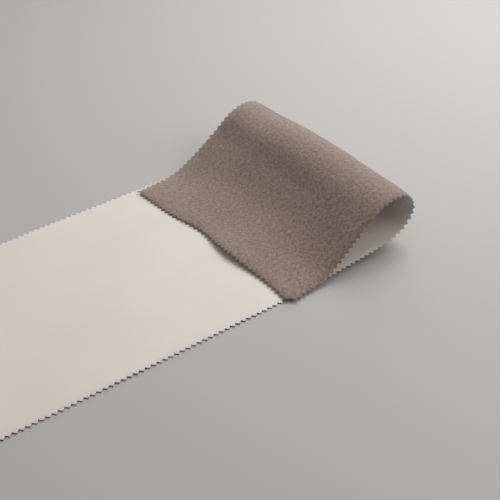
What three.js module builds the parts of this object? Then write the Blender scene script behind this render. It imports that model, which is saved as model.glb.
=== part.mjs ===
// A piano keyboard cover: one long strip of two-faced cloth, smooth and cream above, napped and taupe
// below, cut with a pinked edge all round. It lies flat, cream face up, with its right-hand end turned
// back over itself in a soft open loop, so that the taupe back shows there.
//
// Millimetres. +X runs along the strip to the turned-back end, +Y across it to the back, +Z up from
// the surface that the strip lies on. The origin is the middle of the object's footprint.

import * as THREE from "three";

// The cloth as it is cut, flat.
const LENGTH = 1250;
const WIDTH = 190; // between the middles of the teeth
const THICKNESS = 1.5;

// The pinked edge: a zigzag of equal teeth. The front corners are nipped off, and each back corner ends
// in a tooth of its own.
const TEETH_ALONG = 267; // on each long edge
const TEETH_ACROSS = 39; // on each end
const TOOTH_DEPTH = 2.6; // valley to tip
const FRONT_NIP = 4.6; // along each edge, from the corner to the first tooth
const BACK_NIP = 2.4;
const CORNER_TOOTH = 0.9; // how far its tip stands out, along and across

// The turned-back end. Each row is a place on the cloth's middle layer, from where the strip leaves
// the surface, round the nose of the loop, to the loose end, at the front and the back edge of the
// cloth. x is measured from the nose of the front edge, and z from the middle layer of the strip where
// it lies flat. crown is the share of LOOP_CROWN that the row rises by half way across, and curl the
// share of the loose end's wave.
const FOLD = [
  { place: "leaves the surface", frontX: -112, frontZ: 0, backX: -112, backZ: 0, crown: 0, curl: 0 },
  { place: "starts to lift", frontX: -92, frontZ: 0.6, backX: -91, backZ: 0.5, crown: 0, curl: 0 },
  { place: "lower layer, lifting", frontX: -72, frontZ: 2.7, backX: -70, backZ: 2.1, crown: 0, curl: 0 },
  { place: "lower layer, rising", frontX: -30, frontZ: 6.6, backX: -24, backZ: 6.2, crown: 0.1, curl: 0 },
  { place: "foot of the nose", frontX: -9, frontZ: 13.8, backX: -0.5, backZ: 13.8, crown: 0.3, curl: 0 },
  { place: "nose", frontX: 0, frontZ: 27.2, backX: 8.5, backZ: 26.2, crown: 0.6, curl: 0 },
  { place: "shoulder", frontX: -7, frontZ: 39.8, backX: 1.6, backZ: 38.6, crown: 1, curl: 0 },
  { place: "top", frontX: -19, frontZ: 42.2, backX: -11, backZ: 41.8, crown: 1, curl: 0 },
  { place: "over the top", frontX: -33, frontZ: 39.2, backX: -26, backZ: 37.9, crown: 0.8, curl: 0 },
  { place: "middle of the slope", frontX: -52, frontZ: 28.2, backX: -45, backZ: 24.6, crown: 0.2, curl: 0 },
  { place: "foot of the slope", frontX: -72, frontZ: 13.6, backX: -68, backZ: 11.6, crown: 0.35, curl: 0 },
  { place: "lands on the strip", frontX: -88, frontZ: 4.6, backX: -87, backZ: 3.8, crown: 1.2, curl: 0.1 },
  { place: "lies on the strip", frontX: -105, frontZ: 2.5, backX: -104, backZ: 2.4, crown: 0.7, curl: 0.4 },
  { place: "loose end", frontX: -126.6, frontZ: 2.1, backX: -126.6, backZ: 2.1, crown: 0, curl: 1 },
];
const LOOP_CROWN = 3;
const FOLD_STEPS_ACROSS = 14;

// The loose end's slow wave, from the front edge to the back: how far it stands off the strip, and how
// far it is drawn back towards the loop.
const END_WAVE = [
  { across: -95, lift: 0.2, draw: 0.8 },
  { across: -60, lift: 0.8, draw: 3.2 },
  { across: -22, lift: 3.4, draw: 2.3 },
  { across: 18, lift: 0.4, draw: 6.6 },
  { across: 58, lift: 0, draw: 2.0 },
  { across: 95, lift: 0.8, draw: 1.4 },
];

// The turned-back layer slips towards the front, more and more towards its loose end.
const END_SLIP = 6.5;
const SLIP_POWER = 2.5;
const SLIP_START = 0.45; // share of the fold's length, at the nose

const CREAM_FACE = new THREE.MeshStandardMaterial({ color: 0xe0d7cd, roughness: 0.6, metalness: 0 });
const TAUPE_BACK = new THREE.MeshStandardMaterial({ color: 0x8b7a70, roughness: 0.95, metalness: 0 });
const CUT_EDGE = new THREE.MeshStandardMaterial({ color: 0xc2b5a8, roughness: 0.9, metalness: 0 });

const HALF_WIDTH = WIDTH / 2;
const ARC_STEPS = 400;

// A value from a table's column, eased between the two rows on either side of a place.
function easedColumn(rows, key, column, at) {
  const next = Math.max(1, rows.findIndex((row) => row[key] >= at));
  const upper = rows[at > rows[rows.length - 1][key] ? rows.length - 1 : next];
  const lower = rows[rows.indexOf(upper) - 1];
  const share = THREE.MathUtils.smoothstep(at, lower[key], upper[key]);
  return THREE.MathUtils.lerp(lower[column], upper[column], share);
}

// The cloth's middle layer in the turned-back end, as a curve at one place across the width.
const foldCurves = new Map();

function foldCurve(across) {
  if (!foldCurves.has(across)) {
    const share = (across + HALF_WIDTH) / WIDTH;
    const crown = LOOP_CROWN * Math.max(0, 1 - (across / HALF_WIDTH) ** 2);
    const lift = easedColumn(END_WAVE, "across", "lift", across);
    const draw = easedColumn(END_WAVE, "across", "draw", across);
    const points = FOLD.map((row) => {
      const x = THREE.MathUtils.lerp(row.frontX, row.backX, share) + draw * row.curl;
      const z = THREE.MathUtils.lerp(row.frontZ, row.backZ, share) + crown * row.crown + lift * row.curl;
      return new THREE.Vector3(x, 0, z);
    });
    const curve = new THREE.CatmullRomCurve3(points);
    curve.arcLengthDivisions = ARC_STEPS;
    foldCurves.set(across, curve);
  }
  return foldCurves.get(across);
}

// The fold takes up the cloth from where it leaves the surface to the tips of the loose end's teeth.
const FOLD_LENGTH = foldCurve(0).getLength();
const FLAT_LENGTH = LENGTH + TOOTH_DEPTH / 2 - FOLD_LENGTH;

// A point of the flat cut cloth, carried to where it lies: along and across the cloth, and side, which
// is 1 on the cream face and -1 on the taupe back.
function lay(along, across, side) {
  const half = (side * THICKNESS) / 2;
  if (along <= FLAT_LENGTH) {
    return new THREE.Vector3(along - FLAT_LENGTH + FOLD[0].frontX, across, THICKNESS / 2 + half);
  }
  const share = Math.min(1, (along - FLAT_LENGTH) / FOLD_LENGTH);
  const curve = foldCurve(across);
  const middle = curve.getPointAt(share);
  const run = curve.getTangentAt(share);
  const turned = Math.max(0, (share - SLIP_START) / (1 - SLIP_START));
  const slip = END_SLIP * turned ** SLIP_POWER;
  const z = THICKNESS / 2 + middle.z + run.x * half;
  return new THREE.Vector3(middle.x - run.z * half, across - slip, z);
}

// One end of the cloth: the valleys between its teeth, from the front edge to the back, the tips, and
// the tooth at its back corner.
function pinkedEnd(along, outward) {
  const half = (outward * TOOTH_DEPTH) / 2;
  const start = FRONT_NIP - HALF_WIDTH;
  const pitch = (HALF_WIDTH - BACK_NIP - start) / TEETH_ACROSS;
  const valleys = [];
  const tips = [];
  for (let tooth = 0; tooth <= TEETH_ACROSS; tooth += 1) {
    valleys.push({ along: along - half, across: start + tooth * pitch });
  }
  for (let tooth = 0; tooth < TEETH_ACROSS; tooth += 1) {
    tips.push({ along: along + half, across: start + (tooth + 0.5) * pitch });
  }
  const corner = { along: along + outward * CORNER_TOOTH, across: HALF_WIDTH + CORNER_TOOTH };
  return { valleys, tips, corner };
}

// A line of points across the cloth, from the front edge to the back: only the two edges where the cloth
// lies flat, and a step at a time where it is folded.
function crossRow(step) {
  const share = step / (2 * TEETH_ALONG);
  const front = THREE.MathUtils.lerp(FRONT_NIP, LENGTH - FRONT_NIP, share);
  const back = THREE.MathUtils.lerp(BACK_NIP, LENGTH - BACK_NIP, share);
  const edge = HALF_WIDTH + ((step % 2 === 0 ? -1 : 1) * TOOTH_DEPTH) / 2;
  const steps = Math.max(front, back) > FLAT_LENGTH ? FOLD_STEPS_ACROSS : 1;
  const row = [{ along: front, across: -edge }];
  for (let line = 1; line < steps; line += 1) {
    const along = THREE.MathUtils.lerp(front, back, line / steps);
    row.push({ along, across: -HALF_WIDTH + (line * WIDTH) / steps });
  }
  row.push({ along: back, across: edge });
  return row;
}

// Triangles that fill the strip between two rows, which may have different numbers of points.
function fillBetween(here, next, triangle) {
  let i = 0;
  let j = 0;
  while (i < here.length - 1 || j < next.length - 1) {
    const stepHere = i < here.length - 1 ? here[i + 1].across : Infinity;
    const stepNext = j < next.length - 1 ? next[j + 1].across : Infinity;
    if (stepHere <= stepNext) {
      triangle(here[i], next[j], here[i + 1]);
      i += 1;
    } else {
      triangle(here[i], next[j], next[j + 1]);
      j += 1;
    }
  }
}

// An end's valleys and tips in turn, from the front edge to the back.
function zigzag(end) {
  return end.valleys.flatMap((valley, index) => [valley, ...end.tips.slice(index, index + 1)]);
}

// The cloth's outline, anticlockwise seen from the cream side.
function outline(left, crossRows, right) {
  const leftEnd = [left.corner, ...zigzag(left).reverse()];
  const front = crossRows.map((row) => row.at(0));
  const rightEnd = [...zigzag(right), right.corner];
  const back = crossRows.map((row) => row.at(-1)).reverse();
  return [...leftEnd, ...front, ...rightEnd, ...back];
}

function clothGeometry() {
  const left = pinkedEnd(0, -1);
  const right = pinkedEnd(LENGTH, 1);
  const crossRows = [];
  for (let step = 0; step <= 2 * TEETH_ALONG; step += 1) {
    crossRows.push(crossRow(step));
  }
  const rows = [left.valleys, ...crossRows, right.valleys];

  const positions = [];
  for (const point of [...rows.flat(), ...left.tips, ...right.tips, left.corner, right.corner]) {
    point.face = positions.push(lay(point.along, point.across, 1)) - 1;
    point.back = positions.push(lay(point.along, point.across, -1)) - 1;
  }

  const faceTriangles = [];
  const backTriangles = [];
  const edgeTriangles = [];
  const bothSides = (a, b, c) => {
    faceTriangles.push(a.face, b.face, c.face);
    backTriangles.push(a.back, c.back, b.back);
  };
  rows.slice(1).forEach((row, index) => fillBetween(rows[index], row, bothSides));
  left.tips.forEach((tip, index) => bothSides(tip, left.valleys[index], left.valleys[index + 1]));
  right.tips.forEach((tip, index) => bothSides(tip, right.valleys[index + 1], right.valleys[index]));
  bothSides(left.corner, left.valleys.at(-1), crossRows.at(0).at(-1));
  bothSides(right.corner, crossRows.at(-1).at(-1), right.valleys.at(-1));
  const rim = outline(left, crossRows, right);
  rim.forEach((point, index) => {
    const next = rim[(index + 1) % rim.length];
    edgeTriangles.push(point.back, next.back, next.face, point.back, next.face, point.face);
  });

  const geometry = new THREE.BufferGeometry().setFromPoints(positions);
  geometry.setIndex([...faceTriangles, ...backTriangles, ...edgeTriangles]);
  geometry.addGroup(0, faceTriangles.length, 0);
  geometry.addGroup(faceTriangles.length, backTriangles.length, 1);
  geometry.addGroup(faceTriangles.length + backTriangles.length, edgeTriangles.length, 2);
  geometry.computeVertexNormals();
  return geometry;
}

const cover = new THREE.Mesh(clothGeometry(), [CREAM_FACE, TAUPE_BACK, CUT_EDGE]);
cover.name = "cover";

const footprint = new THREE.Box3().setFromObject(cover).getCenter(new THREE.Vector3());
cover.position.set(-footprint.x, -footprint.y, 0);

const keyboardCover = new THREE.Group();
keyboardCover.add(cover);

export default keyboardCover;
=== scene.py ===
"""A piano keyboard cover: one long strip of two-faced cloth, cream and smooth above, taupe and napped
below, cut with a pinked edge, and lying flat with its right-hand end turned back in a soft open loop.

Metres. +X runs along the strip to the turned-back end, +Y across it to the back, +Z up.
"""
import math
from collections import namedtuple

import bpy
import numpy as np
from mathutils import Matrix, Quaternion, Vector, noise


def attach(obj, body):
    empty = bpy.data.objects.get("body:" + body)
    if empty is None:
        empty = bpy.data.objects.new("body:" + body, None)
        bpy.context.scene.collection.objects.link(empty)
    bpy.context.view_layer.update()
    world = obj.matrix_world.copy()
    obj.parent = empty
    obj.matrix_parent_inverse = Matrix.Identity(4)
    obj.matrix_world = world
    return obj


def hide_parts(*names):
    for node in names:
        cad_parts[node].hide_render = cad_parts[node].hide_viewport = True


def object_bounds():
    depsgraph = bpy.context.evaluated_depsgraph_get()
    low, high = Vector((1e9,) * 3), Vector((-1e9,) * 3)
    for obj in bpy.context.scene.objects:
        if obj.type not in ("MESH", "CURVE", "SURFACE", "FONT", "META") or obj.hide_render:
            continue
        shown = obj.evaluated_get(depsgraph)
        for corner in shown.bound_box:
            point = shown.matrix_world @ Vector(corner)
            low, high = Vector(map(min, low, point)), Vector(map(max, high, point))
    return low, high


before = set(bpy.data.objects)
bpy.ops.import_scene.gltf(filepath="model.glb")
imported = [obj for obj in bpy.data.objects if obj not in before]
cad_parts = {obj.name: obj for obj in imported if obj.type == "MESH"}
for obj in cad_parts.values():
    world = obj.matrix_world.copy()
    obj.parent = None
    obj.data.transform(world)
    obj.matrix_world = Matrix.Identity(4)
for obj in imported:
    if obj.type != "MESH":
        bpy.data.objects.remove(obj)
CAD_LOW, CAD_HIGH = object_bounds()
MM = 0.001

# The cloth as it is cut, flat.
LENGTH = 1250 * MM
WIDTH = 190 * MM  # between the middles of the teeth
THICKNESS = 1.5 * MM
HALF_WIDTH = WIDTH / 2

# The pinked edge: a zigzag of equal teeth. The front corners are nipped off, and each back corner ends in
# a tooth of its own.
TEETH_ALONG = 267
TEETH_ACROSS = 39
HALF_TOOTH = 1.3 * MM  # half the depth, valley to tip
FRONT_NIP = 4.6 * MM
BACK_NIP = 2.4 * MM
CORNER_TOOTH = 0.9 * MM  # how far the tip stands out, along and across
END_PLACES = np.linspace(FRONT_NIP - HALF_WIDTH, HALF_WIDTH - BACK_NIP, 2 * TEETH_ACROSS + 1)
FRONT_PLACES = np.linspace(FRONT_NIP, LENGTH - FRONT_NIP, 2 * TEETH_ALONG + 1)
BACK_PLACES = np.linspace(BACK_NIP, LENGTH - BACK_NIP, 2 * TEETH_ALONG + 1)
TOOTH_UNEVEN = 0.18 * MM  # how much deeper or shallower than the rest a tooth may be cut
cutting = np.random.default_rng(11)

# The turned-back end, in millimetres: the cloth's middle layer from where the strip leaves the surface,
# round the nose of the loop, to the loose end, at the front and the back edge of the cloth. x is
# measured from the nose of the front edge, and z from the strip's middle layer where it lies flat.
# crown is the share of LOOP_CROWN that a row rises by half way across, and curl that of the end's wave.
FoldRow = namedtuple("FoldRow", "front_x front_z back_x back_z crown curl")
FOLD = [
    FoldRow(-112, 0, -112, 0, 0, 0),  # leaves the surface
    FoldRow(-92, 0.6, -91, 0.5, 0, 0),  # starts to lift
    FoldRow(-72, 2.7, -70, 2.1, 0, 0),  # lower layer, lifting
    FoldRow(-30, 6.6, -24, 6.2, 0.1, 0),  # lower layer, rising
    FoldRow(-9, 13.8, -0.5, 13.8, 0.3, 0),  # foot of the nose
    FoldRow(0, 27.2, 8.5, 26.2, 0.6, 0),  # nose
    FoldRow(-7, 39.8, 1.6, 38.6, 1, 0),  # shoulder
    FoldRow(-19, 42.2, -11, 41.8, 1, 0),  # top
    FoldRow(-33, 39.2, -26, 37.9, 0.8, 0),  # over the top
    FoldRow(-52, 28.2, -45, 24.6, 0.2, 0),  # middle of the slope
    FoldRow(-72, 13.6, -68, 11.6, 0.35, 0),  # foot of the slope
    FoldRow(-88, 4.6, -87, 3.8, 1.2, 0.1),  # lands on the strip
    FoldRow(-105, 2.2, -104, 2.2, 0.7, 0.4),  # lies on the strip
    FoldRow(-126.6, 1.8, -126.6, 1.8, 0, 1),  # loose end
]
LOOP_CROWN = 3 * MM
# The loose end's slow wave, in millimetres: how far it stands off the strip, and how far it is drawn
# back towards the loop, at places from the front edge to the back.
WaveRow = namedtuple("WaveRow", "across lift draw")
END_WAVE = [
    WaveRow(-95, 0.2, 0.8),
    WaveRow(-60, 0.8, 3.2),
    WaveRow(-22, 3.4, 2.3),
    WaveRow(18, 0.4, 6.6),
    WaveRow(58, 0, 2.0),
    WaveRow(95, 0.8, 1.4),
]
# The turned-back layer slips to the front, from the nose on and more and more to its loose end.
END_SLIP = 6.5 * MM
SLIP_POWER = 2.5
SLIP_START = 0.45  # share of the fold's length

# Unevenness: soft lumps in the turned-back end, and lifts of the long edges of the flat strip.
LUMP_SIZE = 48 * MM
LUMP_HEIGHT = 1.1 * MM
FREE_START = 0.12  # shares of the fold's length between which the cloth hangs free
FREE_END = 0.88
FREE_EASE = 0.2
EDGE_SIZE = 85 * MM
EDGE_LIFT = 1.2 * MM
EDGE_REACH = 26 * MM
# The shears press the cloth thinner towards its edges: by a share of the thickness, over a stretch. It
# sinks on to what it lies on, which is on the taupe side before the fold and on the cream side after it.
EDGE_PRESS = 0.45
EDGE_TAPER = 7 * MM
PRESS_TURNS = (0.1, 0.9)  # shares of the fold's length

# How finely the fold is worked out: points between two rows of the table, points on each finished
# curve, and curves across the cloth.
SPAN_STEPS = 48
CURVE_STEPS = 600
CURVE_LINES = 65
JUST_SHORT = 0.001  # keeps a place off the very last curve and point, which have no next one


def ease(share):
    """A share from 0 to 1, made to start and stop slowly."""
    share = np.clip(share, 0, 1)
    return share * share * (3 - 2 * share)


def end_wave(across):
    """The loose end's lift and draw at one place across the cloth, eased between the table's rows."""
    places = [row.across * MM for row in END_WAVE]
    high = int(np.clip(np.searchsorted(places, across), 1, len(places) - 1))
    share = ease((across - places[high - 1]) / (places[high] - places[high - 1]))
    lower = END_WAVE[high - 1]
    upper = END_WAVE[high]
    lift = lower.lift + share * (upper.lift - lower.lift)
    draw = lower.draw + share * (upper.draw - lower.draw)
    return lift * MM, draw * MM


def fold_points(across):
    """The fold table's rows as points (x, z) at one place across the cloth."""
    front_x, front_z, back_x, back_z, crown, curl = np.array(FOLD).T
    share = (across + HALF_WIDTH) / WIDTH
    rise = LOOP_CROWN * max(0, 1 - (across / HALF_WIDTH) ** 2)
    lift, draw = end_wave(across)
    x = (front_x + share * (back_x - front_x)) * MM + draw * curl
    z = (front_z + share * (back_z - front_z)) * MM + rise * crown + lift * curl
    return np.stack([x, z], axis=1)


def smooth_curve(points):
    """A centripetal Catmull-Rom curve through the points, as a dense line."""
    ends = np.vstack([2 * points[0] - points[1], points, 2 * points[-1] - points[-2]])
    t = np.linspace(0, 1, SPAN_STEPS, endpoint=False)[:, None]
    line = []
    for p0, p1, p2, p3 in zip(ends, ends[1:], ends[2:], ends[3:]):
        d0, d1, d2 = (math.sqrt(np.linalg.norm(b - a)) for a, b in ((p0, p1), (p1, p2), (p2, p3)))
        leave = ((p1 - p0) / d0 - (p2 - p0) / (d0 + d1) + (p2 - p1) / d1) * d1
        reach = ((p2 - p1) / d1 - (p3 - p1) / (d1 + d2) + (p3 - p2) / d2) * d1
        cubic = 2 * (p1 - p2) + leave + reach
        square = 3 * (p2 - p1) - 2 * leave - reach
        line.append(((cubic * t + square) * t + leave) * t + p1)
    return np.vstack([*line, points[-1:]])


def even_curve(across):
    """The fold at one place across the cloth as points an equal length apart, and its length."""
    line = smooth_curve(fold_points(across))
    run = np.concatenate([[0], np.cumsum(np.linalg.norm(np.diff(line, axis=0), axis=1))])
    at = np.linspace(0, run[-1], CURVE_STEPS)
    x = np.interp(at, run, line[:, 0])
    z = np.interp(at, run, line[:, 1])
    return np.stack([x, z], axis=1), run[-1]


LINE_PLACES = np.linspace(-HALF_WIDTH - HALF_TOOTH, HALF_WIDTH + HALF_TOOTH, CURVE_LINES)
CURVES = np.array([even_curve(across)[0] for across in LINE_PLACES])
RUNS = np.gradient(CURVES, axis=1)
RUNS /= np.linalg.norm(RUNS, axis=2, keepdims=True)
FOLD_LENGTH = even_curve(0)[1]
FLAT_LENGTH = LENGTH + HALF_TOOTH - FOLD_LENGTH
MIDDLE_Y = CAD_HIGH.y - HALF_WIDTH - HALF_TOOTH
NOSE_X = CAD_HIGH.x - (CURVES[:, :, 0] + RUNS[:, :, 1] * THICKNESS / 2).max()


def on_curves(table, across, share):
    """Reads a table kept on the fold's curves, at places across the cloth and shares along the fold."""
    line = np.interp(across, LINE_PLACES, np.arange(CURVE_LINES))
    line = np.minimum(line, CURVE_LINES - 1 - JUST_SHORT)
    step = np.clip(share, 0, 1) * (CURVE_STEPS - 1 - JUST_SHORT)
    i = line.astype(int)
    j = step.astype(int)
    u = (line - i)[:, None]
    v = (step - j)[:, None]
    near = table[i, j] * (1 - v) + table[i, j + 1] * v
    far = table[i + 1, j] * (1 - v) + table[i + 1, j + 1] * v
    return near * (1 - u) + far * u


def soft_noise(along, across, size, layer):
    """Smooth noise from -1 to 1 over the flat cut cloth, with lumps of a size."""
    return np.array([noise.noise((s / size, a / size, layer)) for s, a in zip(along, across)])


def unevenness(along, across):
    """How far the cloth's middle layer stands off its even lie: soft lumps where it hangs free, and edges
    that lift a little here and there where it lies flat."""
    share = (along - FLAT_LENGTH) / FOLD_LENGTH
    free = ease((share - FREE_START) / FREE_EASE) * ease((FREE_END - share) / FREE_EASE)
    by_edge = ease(1 - (HALF_WIDTH - np.abs(across)) / EDGE_REACH)
    flat = ease((FLAT_LENGTH - EDGE_REACH - along) / EDGE_REACH)
    lifts = np.maximum(0, soft_noise(along, across, EDGE_SIZE, 1))
    lumps = soft_noise(along, across, LUMP_SIZE, 0)
    return free * LUMP_HEIGHT * lumps + flat * by_edge * EDGE_LIFT * lifts


def lay(along, across, height):
    """Carries points of the flat cut cloth to where they lie. height is from the cloth's middle layer
    towards the cream face."""
    share = (along - FLAT_LENGTH) / FOLD_LENGTH
    edge_room = np.minimum(HALF_WIDTH - np.abs(across), np.minimum(along, LENGTH - along))
    pressed = EDGE_PRESS * ease(1 - edge_room / EDGE_TAPER)
    sinks = np.interp(share, PRESS_TURNS, (-1, 1))
    height = height * (1 - pressed) + sinks * pressed * THICKNESS / 2 + unevenness(along, across)
    middle = on_curves(CURVES, across, share)
    run = on_curves(RUNS, across, share)
    flat = share <= 0
    middle[flat, 0] = along[flat] - FLAT_LENGTH + FOLD[0].front_x * MM
    middle[flat, 1] = 0
    run[flat] = (1, 0)
    slip = END_SLIP * np.clip((share - SLIP_START) / (1 - SLIP_START), 0, 1) ** SLIP_POWER
    x = NOSE_X + middle[:, 0] - run[:, 1] * height
    z = THICKNESS / 2 + middle[:, 1] + run[:, 0] * height
    return np.stack([x, MIDDLE_Y + across - slip, z], axis=1)


FACE, BACK, CUT = range(3)  # the cloth's material slots
# The rim from the cream face round the cut to the taupe back: how far in from the outline, in
# millimetres, and how high, as a share of the thickness from the middle layer.
RIM = [(0.35, 0.5), (0, 0.28), (0, 0.04), (0, -0.24), (0.35, -0.5)]
RIM_KINDS = (FACE, CUT, BACK, BACK)  # of the bands between these places
CORNER_WAY_IN = 0.7  # along and across, from a corner tooth's tip
COARSE_COUNT = 21
COARSE_LINES = np.linspace(END_PLACES[0], END_PLACES[-1], COARSE_COUNT)  # where the cloth lies flat
FLAT_MAP = "flat_cloth"  # a map of each point's place on the flat cut cloth, in metres
NAP_SHARE = "nap"  # how much of the nap grows at each point, from 0 to 1
NAP_START = 0.22  # share of the fold's length; before that the back lies on the surface
NAP_FULL = 0.34


class Sheet:
    """Points of the flat cut cloth, and the faces between them."""

    def __init__(self):
        self.points = []
        self.faces = []
        self.kinds = []

    def point(self, along, across, height):
        """Adds a point, and gives its number."""
        self.points.append((along, across, height))
        return len(self.points) - 1

    def place_across(self, row, k):
        """How far across a row's point lies, or past everything where the row has ended."""
        return self.points[row[k]][1] if k < len(row) else math.inf

    def face(self, corners, kind):
        """Adds a face of one of the material slots."""
        self.faces.append(corners)
        self.kinds.append(kind)

    def fill(self, here, ahead, kind):
        """Faces between two rows of points, which run from the front edge to the back."""
        turn = 1 if kind == FACE else -1
        if len(here) == len(ahead):
            for a, b, c, d in zip(here, ahead, ahead[1:], here[1:]):
                self.face((a, b, c, d)[::turn], kind)
            return
        i = 0
        j = 0
        while i < len(here) - 1 or j < len(ahead) - 1:
            if self.place_across(here, i + 1) <= self.place_across(ahead, j + 1):
                self.face((here[i], ahead[j], here[i + 1])[::turn], kind)
                i += 1
            else:
                self.face((here[i], ahead[j], ahead[j + 1])[::turn], kind)
                j += 1


def teeth(count):
    """A zigzag of teeth: how far each valley and tip stands out from their middle line."""
    depths = np.where(np.arange(2 * count + 1) % 2, HALF_TOOTH, -HALF_TOOTH)
    return depths + cutting.uniform(-TOOTH_UNEVEN, TOOTH_UNEVEN, len(depths))


def end_outline(along, outward):
    """An end's teeth from the front edge to the back, as (along, across, way in along, way in across)."""
    outs = teeth(TEETH_ACROSS)
    return [(along + outward * out, place, -outward, 0) for place, out in zip(END_PLACES, outs)]


def side_outline(places, outward):
    """A long edge's teeth from the left end to the right. outward is -1 at the front and 1 at the back."""
    outs = teeth(TEETH_ALONG)
    return [(place, outward * (HALF_WIDTH + out), 0, -outward) for place, out in zip(places, outs)]


def corner_outline(along, outward):
    """The tooth at an end's back corner."""
    tip = (along + outward * CORNER_TOOTH, HALF_WIDTH + CORNER_TOOTH)
    return [(*tip, -outward * CORNER_WAY_IN, -CORNER_WAY_IN)]


def cloth_sheet():
    """The whole cut cloth, flat: both faces, row by row from the left end to the right, and the rim."""
    sheet = Sheet()

    def ring(outline):
        """The rim's points at each place of a stretch of the outline, from the cream face to the back."""
        return [
            [sheet.point(s + ds * inset * MM, a + da * inset * MM, high * THICKNESS) for inset, high in RIM]
            for s, a, ds, da in outline
        ]

    left = ring(end_outline(0, -1))
    right = ring(end_outline(LENGTH, 1))
    front = ring(side_outline(FRONT_PLACES, -1))
    back = ring(side_outline(BACK_PLACES, 1))
    (left_corner,) = ring(corner_outline(0, -1))
    (right_corner,) = ring(corner_outline(LENGTH, 1))

    for kind, at, height in ((FACE, 0, THICKNESS / 2), (BACK, -1, -THICKNESS / 2)):
        rows = [[point[at] for point in left]]
        for start, end, from_place, to_place in zip(front, back, FRONT_PLACES, BACK_PLACES):
            fine = from_place > FLAT_LENGTH or len(rows) == 1
            lines = END_PLACES if fine else COARSE_LINES
            along = from_place + (to_place - from_place) * (lines + HALF_WIDTH) / WIDTH
            inner = [sheet.point(s, a, height) for s, a in zip(along, lines)]
            rows.append([start[at], *inner, end[at]])
        sheet.fill(rows[0], rows[1][1:-1], kind)
        for here, ahead in zip(rows[1:], rows[2:]):
            sheet.fill(here, ahead, kind)
        last = [point[at] for point in right]
        sheet.fill(rows[-1][1:-1], last, kind)
        turn = 1 if kind == FACE else -1
        for row, end, way in ((rows[1], rows[0], -1), (rows[-1], last, 1)):
            sheet.face((row[0], end[0], row[1])[:: turn * way], kind)
            sheet.face((row[-1], row[-2], end[-1])[:: turn * way], kind)
        sheet.face((rows[0][-1], rows[1][-1], left_corner[at])[::turn], kind)
        sheet.face((rows[-1][-1], last[-1], right_corner[at])[::turn], kind)

    loop = [*left[::-1], *front, *right, right_corner, *back[::-1], left_corner]
    for here, ahead in zip(loop, loop[1:] + loop[:1]):
        for k, kind in enumerate(RIM_KINDS):
            sheet.face((here[k], here[k + 1], ahead[k + 1], ahead[k]), kind)
    return sheet


def make_cover(materials):
    """The cloth as it lies, with a map of its flat cut and the share of nap at each point."""
    sheet = cloth_sheet()
    along, across, height = np.array(sheet.points).T
    mesh = bpy.data.meshes.new("cover_cloth")
    mesh.from_pydata(lay(along, across, height).tolist(), [], sheet.faces)
    mesh.polygons.foreach_set("material_index", sheet.kinds)
    mesh.polygons.foreach_set("use_smooth", [True] * len(sheet.faces))
    corners = [k for face in sheet.faces for k in face]
    flat_places = np.stack([along[corners], across[corners]], axis=1)
    mesh.uv_layers.new(name=FLAT_MAP).data.foreach_set("uv", flat_places.ravel())
    for material in materials:
        mesh.materials.append(material)
    share = (along - FLAT_LENGTH) / FOLD_LENGTH
    napped = (height <= -THICKNESS / 2) * ease((share - NAP_START) / (NAP_FULL - NAP_START))
    mesh.attributes.new(NAP_SHARE, "FLOAT", "POINT").data.foreach_set("value", napped)
    mesh.validate()
    cover = bpy.data.objects.new("cover_cloth", mesh)
    bpy.context.scene.collection.objects.link(cover)
    return cover


def linear(code):
    """A colour given as sRGB hex, in linear light."""
    shares = [int(code[k : k + 2], 16) / 255 for k in (1, 3, 5)]
    return (*(c / 12.92 if c <= 0.04045 else ((c + 0.055) / 1.055) ** 2.4 for c in shares), 1)


def per_mm(size):
    """The scale of a pattern whose features are a size in millimetres apart."""
    return 1 / (size * MM)


def add(tree, kind, inputs=None, **settings):
    """Adds a node. inputs gives each socket a value, or another node's output to link from."""
    made = tree.nodes.new(kind)
    for name, value in settings.items():
        setattr(made, name, value)
    for name, value in (inputs or {}).items():
        if isinstance(value, bpy.types.NodeSocket):
            tree.links.new(value, made.inputs[name])
        else:
            made.inputs[name].default_value = value
    return made


# What the cloth's patterns measure, in millimetres. The nubs are as far apart as they look in the
# photograph. Real microfibres are a hundredth of a millimetre thick, too fine to show: the felted grain,
# the flecks, the ends in the cut and the loose fibres are drawn as coarse as they need to be to show.
CLOUD = 70
FELT_GRAIN = 0.9
NUB = 2.8
FLECK = 1.2
CUT_ENDS = 0.8
FIBRE_TONE = 1.5
FELT_RELIEF = 0.1 * MM
NAP_RELIEF = 0.4 * MM
FABRIC_IOR = 1.45
# Where two noises added together, or one alone, pass from one colour or thickness to the other.
CREAM_SPREAD = (0.65, 1.35)
TAUPE_SPREAD = (0.75, 1.25)
CLUMP_SPREAD = (0.3, 0.7)


def new_material(name):
    """An empty material, and its tree of nodes."""
    material = bpy.data.materials.new(name)
    material.use_nodes = True
    material.node_tree.nodes.clear()
    return material, material.node_tree


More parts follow.
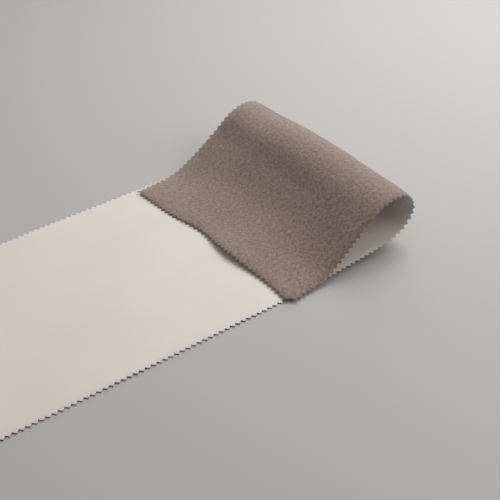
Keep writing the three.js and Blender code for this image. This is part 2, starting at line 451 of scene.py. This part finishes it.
def cream_face():
    """Cream microfibre, sheared and pressed: matt, with a faint felted grain and a faint cloudiness."""
    material, tree = new_material("cream_pressed_microfibre")
    place = add(tree, "ShaderNodeUVMap", uv_map=FLAT_MAP).outputs["UV"]
    cloud = add(tree, "ShaderNodeTexNoise", {"Vector": place, "Scale": per_mm(CLOUD), "Detail": 3})
    grain = add(
        tree,
        "ShaderNodeTexNoise",
        {"Vector": place, "Scale": per_mm(FELT_GRAIN), "Detail": 3, "Roughness": 0.7},
    )
    tone = add(tree, "ShaderNodeMath", {0: cloud.outputs["Fac"], 1: grain.outputs["Fac"]}, operation="ADD")
    share = add(
        tree,
        "ShaderNodeMapRange",
        {"Value": tone.outputs[0], "From Min": CREAM_SPREAD[0], "From Max": CREAM_SPREAD[1]},
    )
    colour = add(
        tree,
        "ShaderNodeMix",
        {"Factor": share.outputs[0], "A": linear("#DBD3CA"), "B": linear("#E4DCD4")},
        data_type="RGBA",
    )
    bump = add(
        tree,
        "ShaderNodeBump",
        {"Strength": 0.5, "Distance": FELT_RELIEF, "Height": grain.outputs["Fac"]},
    )
    shader = add(
        tree,
        "ShaderNodeBsdfPrincipled",
        {
            "Base Color": colour.outputs["Result"],
            "Roughness": 0.72,
            "IOR": FABRIC_IOR,
            "Sheen Weight": 0.08,
            "Sheen Roughness": 0.5,
            "Normal": bump.outputs["Normal"],
        },
    )
    add(tree, "ShaderNodeOutputMaterial", {"Surface": shader.outputs["BSDF"]})
    return material


def taupe_back():
    """Taupe brushed microfibre: a short matted nap that stands up in small nubs, dull from every side."""
    material, tree = new_material("taupe_brushed_microfibre")
    place = add(tree, "ShaderNodeUVMap", uv_map=FLAT_MAP).outputs["UV"]
    nub = add(
        tree,
        "ShaderNodeTexNoise",
        {"Vector": place, "Scale": per_mm(NUB), "Detail": 3, "Roughness": 0.6},
    )
    fleck = add(
        tree,
        "ShaderNodeTexNoise",
        {"Vector": place, "Scale": per_mm(FLECK), "Detail": 2, "Roughness": 0.6},
    )
    mottle = add(tree, "ShaderNodeMath", {0: nub.outputs["Fac"], 1: fleck.outputs["Fac"]}, operation="ADD")
    share = add(
        tree,
        "ShaderNodeMapRange",
        {"Value": mottle.outputs[0], "From Min": TAUPE_SPREAD[0], "From Max": TAUPE_SPREAD[1]},
    )
    colour = add(
        tree,
        "ShaderNodeMix",
        {"Factor": share.outputs[0], "A": linear("#655247"), "B": linear("#9F877A")},
        data_type="RGBA",
    )
    bump = add(
        tree,
        "ShaderNodeBump",
        {"Strength": 0.6, "Distance": NAP_RELIEF, "Height": mottle.outputs[0]},
    )
    shader = add(
        tree,
        "ShaderNodeBsdfPrincipled",
        {
            "Base Color": colour.outputs["Result"],
            "Roughness": 0.95,
            "IOR": FABRIC_IOR,
            "Sheen Weight": 0.9,
            "Sheen Roughness": 0.55,
            "Sheen Tint": linear("#F4E6DC"),
            "Normal": bump.outputs["Normal"],
        },
    )
    add(tree, "ShaderNodeOutputMaterial", {"Surface": shader.outputs["BSDF"]})
    return material


def cut_edge():
    """The raw cut through the cloth: loose pale fibre ends of both layers."""
    material, tree = new_material("cut_fibre_edge")
    place = add(tree, "ShaderNodeUVMap", uv_map=FLAT_MAP).outputs["UV"]
    fibre = add(tree, "ShaderNodeTexNoise", {"Vector": place, "Scale": per_mm(CUT_ENDS), "Detail": 2})
    colour = add(
        tree,
        "ShaderNodeMix",
        {"Factor": fibre.outputs["Fac"], "A": linear("#BDB0A1"), "B": linear("#D5C9BD")},
        data_type="RGBA",
    )
    shader = add(
        tree,
        "ShaderNodeBsdfPrincipled",
        {"Base Color": colour.outputs["Result"], "Roughness": 0.95, "IOR": FABRIC_IOR},
    )
    add(tree, "ShaderNodeOutputMaterial", {"Surface": shader.outputs["BSDF"]})
    return material


def loose_fibre():
    """Single microfibres brushed out of the taupe back: fine, with a tone that varies at random."""
    material, tree = new_material("brushed_taupe_fibre")
    place = add(tree, "ShaderNodeTexCoord").outputs["Object"]
    tone = add(tree, "ShaderNodeTexNoise", {"Vector": place, "Scale": per_mm(FIBRE_TONE), "Detail": 1})
    colour = add(
        tree,
        "ShaderNodeMix",
        {"Factor": tone.outputs["Fac"], "A": linear("#6F5A51"), "B": linear("#B0998A")},
        data_type="RGBA",
    )
    shader = add(
        tree,
        "ShaderNodeBsdfPrincipled",
        {
            "Base Color": colour.outputs["Result"],
            "Roughness": 0.85,
            "IOR": FABRIC_IOR,
            "Sheen Weight": 0.7,
        },
    )
    add(tree, "ShaderNodeOutputMaterial", {"Surface": shader.outputs["BSDF"]})
    return material


# The nap's sizes. A fibre is drawn thicker than a real one, and there are fewer, so that they show.
NAP_SIZES = {
    "Fibres per square metre": 1.05e6,
    "Fibre length": 1.3 * MM,
    "Fibre half thickness": 0.06 * MM,
    "Clump size": 2.4 * MM,
    "Seed": 5,
}
THIN_SHARE = 0.2  # of the fibres, between clumps and in them
THICK_SHARE = 1.8
LEAN = (0.8, 1.45)  # radians from upright
GROWTH = (0.5, 1.2)  # shares of the fibre's length


def nap_tree(material):
    """Short tapered fibres that grow in clumps where the nap share says, and lean over every way."""
    tree = bpy.data.node_groups.new("brushed_nap", "GeometryNodeTree")
    sockets = tree.interface
    sockets.new_socket("Cloth", in_out="INPUT", socket_type="NodeSocketGeometry")
    for name, value in NAP_SIZES.items():
        kind = "NodeSocketInt" if isinstance(value, int) else "NodeSocketFloat"
        sockets.new_socket(name, in_out="INPUT", socket_type=kind)
    sockets.new_socket("Nap", in_out="OUTPUT", socket_type="NodeSocketGeometry")
    size = add(tree, "NodeGroupInput").outputs

    clump = add(tree, "ShaderNodeMath", {0: 1.0, 1: size["Clump size"]}, operation="DIVIDE")
    tuft = add(tree, "ShaderNodeTexNoise", {"Scale": clump.outputs[0], "Detail": 1.0})
    thick = add(
        tree,
        "ShaderNodeMapRange",
        {
            "Value": tuft.outputs["Fac"],
            "From Min": CLUMP_SPREAD[0],
            "From Max": CLUMP_SPREAD[1],
            "To Min": THIN_SHARE,
            "To Max": THICK_SHARE,
        },
    )
    share = add(tree, "GeometryNodeInputNamedAttribute", {"Name": NAP_SHARE}, data_type="FLOAT")
    grows = add(
        tree,
        "ShaderNodeMath",
        {0: share.outputs["Attribute"], 1: thick.outputs[0]},
        operation="MULTIPLY",
    )
    density = add(
        tree,
        "ShaderNodeMath",
        {0: grows.outputs[0], 1: size["Fibres per square metre"]},
        operation="MULTIPLY",
    )
    roots = add(
        tree,
        "GeometryNodeDistributePointsOnFaces",
        {"Mesh": size["Cloth"], "Density": density.outputs[0], "Seed": size["Seed"]},
    )
    lean = add(
        tree,
        "FunctionNodeRandomValue",
        {"Min": LEAN[0], "Max": LEAN[1], "Seed": 1},
        data_type="FLOAT",
    )
    turn = add(
        tree,
        "FunctionNodeRandomValue",
        {"Min": 0.0, "Max": math.tau, "Seed": 2},
        data_type="FLOAT",
    )
    tilt = add(tree, "ShaderNodeCombineXYZ", {"X": lean.outputs["Value"], "Z": turn.outputs["Value"]})
    tilted = add(tree, "FunctionNodeEulerToRotation", {"Euler": tilt.outputs["Vector"]})
    way = add(
        tree,
        "FunctionNodeRotateRotation",
        {"Rotation": roots.outputs["Rotation"], "Rotate By": tilted.outputs["Rotation"]},
        rotation_space="LOCAL",
    )
    grown = add(
        tree,
        "FunctionNodeRandomValue",
        {"Min": GROWTH[0], "Max": GROWTH[1], "Seed": 3},
        data_type="FLOAT",
    )
    fibre = add(
        tree,
        "GeometryNodeMeshCone",
        {
            "Vertices": 3,
            "Radius Top": 0.0,
            "Radius Bottom": size["Fibre half thickness"],
            "Depth": size["Fibre length"],
        },
        fill_type="NONE",
    )
    fibres = add(
        tree,
        "GeometryNodeInstanceOnPoints",
        {
            "Points": roots.outputs["Points"],
            "Instance": fibre.outputs["Mesh"],
            "Rotation": way.outputs["Rotation"],
            "Scale": grown.outputs["Value"],
        },
    )
    nap = add(tree, "GeometryNodeRealizeInstances", {"Geometry": fibres.outputs["Instances"]})
    dyed = add(tree, "GeometryNodeSetMaterial", {"Geometry": nap.outputs["Geometry"], "Material": material})
    add(tree, "NodeGroupOutput", {"Nap": dyed.outputs["Geometry"]})
    return tree


def make_nap(cover):
    """The fibres that stand out of the taupe back, as a plain mesh."""
    nap = bpy.data.objects.new("cover_nap", cover.data.copy())
    bpy.context.scene.collection.objects.link(nap)
    grow = nap.modifiers.new("nap", "NODES")
    fibre = loose_fibre()
    grow.node_group = nap_tree(fibre)
    for socket in grow.node_group.interface.items_tree:
        if socket.name in NAP_SIZES:
            grow[socket.identifier] = NAP_SIZES[socket.name]
    grown = nap.evaluated_get(bpy.context.evaluated_depsgraph_get())
    mesh = bpy.data.meshes.new_from_object(grown)
    nap.modifiers.remove(grow)
    mesh.materials.clear()
    mesh.materials.append(fibre)
    mesh.polygons.foreach_set("material_index", [0] * len(mesh.polygons))
    nap.data = mesh
    mesh.name = "cover_nap"
    return nap


def plain_floor():
    """Pale matt studio floor: no gloss and no pattern."""
    material, tree = new_material("studio_floor")
    shader = add(
        tree,
        "ShaderNodeBsdfPrincipled",
        {"Base Color": linear("#B9B7B4"), "Roughness": 0.9, "Specular IOR Level": 0.2},
    )
    add(tree, "ShaderNodeOutputMaterial", {"Surface": shader.outputs["BSDF"]})
    return material


FLOOR_SIZE = 40  # metres
FLOOR_DROP = 0.2 * MM  # below the strip's underside, so that the two don't share a plane


def make_floor():
    """One large flat square under the strip."""
    half = FLOOR_SIZE / 2
    mesh = bpy.data.meshes.new("floor")
    corners = [(x * half, y * half, -FLOOR_DROP) for x, y in ((-1, -1), (1, -1), (1, 1), (-1, 1))]
    mesh.from_pydata(corners, [], [(0, 1, 2, 3)])
    mesh.materials.append(plain_floor())
    floor = bpy.data.objects.new("floor", mesh)
    bpy.context.scene.collection.objects.link(floor)
    return floor


# The studio's lamps: where each stands and points, from the aim, and how broad it is, in metres, how
# far it spreads, in degrees, and its watts. The left one lights the rest of the strip from above.
Lamp = namedtuple("Lamp", "name place target breadth spread watts")
LAMPS = [
    Lamp("key", (0.65, 0.2, 0.75), (0, 0, 0), 0.7, 180, 7.7),
    Lamp("fill", (0.7, -0.85, 0.8), (0, 0, 0), 0.9, 180, 5.15),
    Lamp("left", (-0.95, 0.03, 0.75), (-0.95, 0.03, 0), 0.8, 70, 0.42),
]
# Soft parallel light, which reaches the whole floor evenly: the way that it comes from, how broad its
# source is, in degrees, and its strength. Together they leave the far floor as bright as the room, so
# that no line shows where the two meet.
Parallel = namedtuple("Parallel", "name source breadth strength")
PARALLELS = [
    Parallel("rim", (1.6, 1.8, 0.75), 27, 0.6),
    Parallel("overhead", (0, 0, 1), 90, 0.322),
]
ROOM_STRENGTH = 0.15


def hang_light(data, place, way):
    """Puts a light at a place, shining a way."""
    light = bpy.data.objects.new(data.name, data)
    light.location = place
    light.rotation_mode = "QUATERNION"
    light.rotation_quaternion = way.to_track_quat("-Z", "Y")
    bpy.context.scene.collection.objects.link(light)


def light_studio(aim):
    """An evenly lit room, with the lamps and the parallel light set round the aim."""
    world = bpy.data.worlds.new("studio")
    world.use_nodes = True
    room = world.node_tree.nodes["Background"].inputs
    room["Color"].default_value = linear("#FFFFFF")
    room["Strength"].default_value = ROOM_STRENGTH
    bpy.context.scene.world = world
    for lamp in LAMPS:
        data = bpy.data.lights.new(lamp.name, "AREA")
        data.shape = "DISK"
        data.size = lamp.breadth
        data.spread = math.radians(lamp.spread)
        data.energy = lamp.watts
        hang_light(data, aim + Vector(lamp.place), Vector(lamp.target) - Vector(lamp.place))
    for parallel in PARALLELS:
        data = bpy.data.lights.new(parallel.name, "SUN")
        data.angle = math.radians(parallel.breadth)
        data.energy = parallel.strength
        hang_light(data, aim, -Vector(parallel.source))


# The photograph's view: its middle falls on the strip's top face this far from the fold's furthest
# point and from the strip's middle line.
VIEW_AZIMUTH = -37.68  # degrees
VIEW_ELEVATION = 34.23
VIEW_ROLL = -0.96
VIEW_DISTANCE = 880.9 * MM
AIM_FROM_NOSE = -114.0 * MM
AIM_FROM_MIDDLE = -31.3 * MM
FOCAL_LENGTH = 85.35  # millimetres, on a sensor of this width
SENSOR_WIDTH = 36


def make_camera(aim):
    """A camera that sees the cover as the photograph does."""
    azimuth = math.radians(VIEW_AZIMUTH)
    elevation = math.radians(VIEW_ELEVATION)
    level = Vector((math.sin(azimuth), -math.cos(azimuth), 0)) * math.cos(elevation)
    towards_camera = level + Vector((0, 0, math.sin(elevation)))
    data = bpy.data.cameras.new("camera")
    data.lens = FOCAL_LENGTH
    data.sensor_width = SENSOR_WIDTH
    camera = bpy.data.objects.new("camera", data)
    camera.location = aim + towards_camera * VIEW_DISTANCE
    camera.rotation_mode = "QUATERNION"
    roll = Quaternion((0, 0, 1), math.radians(VIEW_ROLL))
    camera.rotation_quaternion = (-towards_camera).to_track_quat("-Z", "Y") @ roll
    bpy.context.scene.collection.objects.link(camera)
    bpy.context.scene.camera = camera


AIM = Vector((CAD_HIGH.x + AIM_FROM_NOSE, MIDDLE_Y + AIM_FROM_MIDDLE, THICKNESS))
make_camera(AIM)
light_studio(AIM)
bpy.context.scene.view_settings.view_transform = "Standard"

cover = make_cover([cream_face(), taupe_back(), cut_edge()])
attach(cover, "root")
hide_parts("cover")
nap = make_nap(cover)
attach(nap, "root")

make_floor()
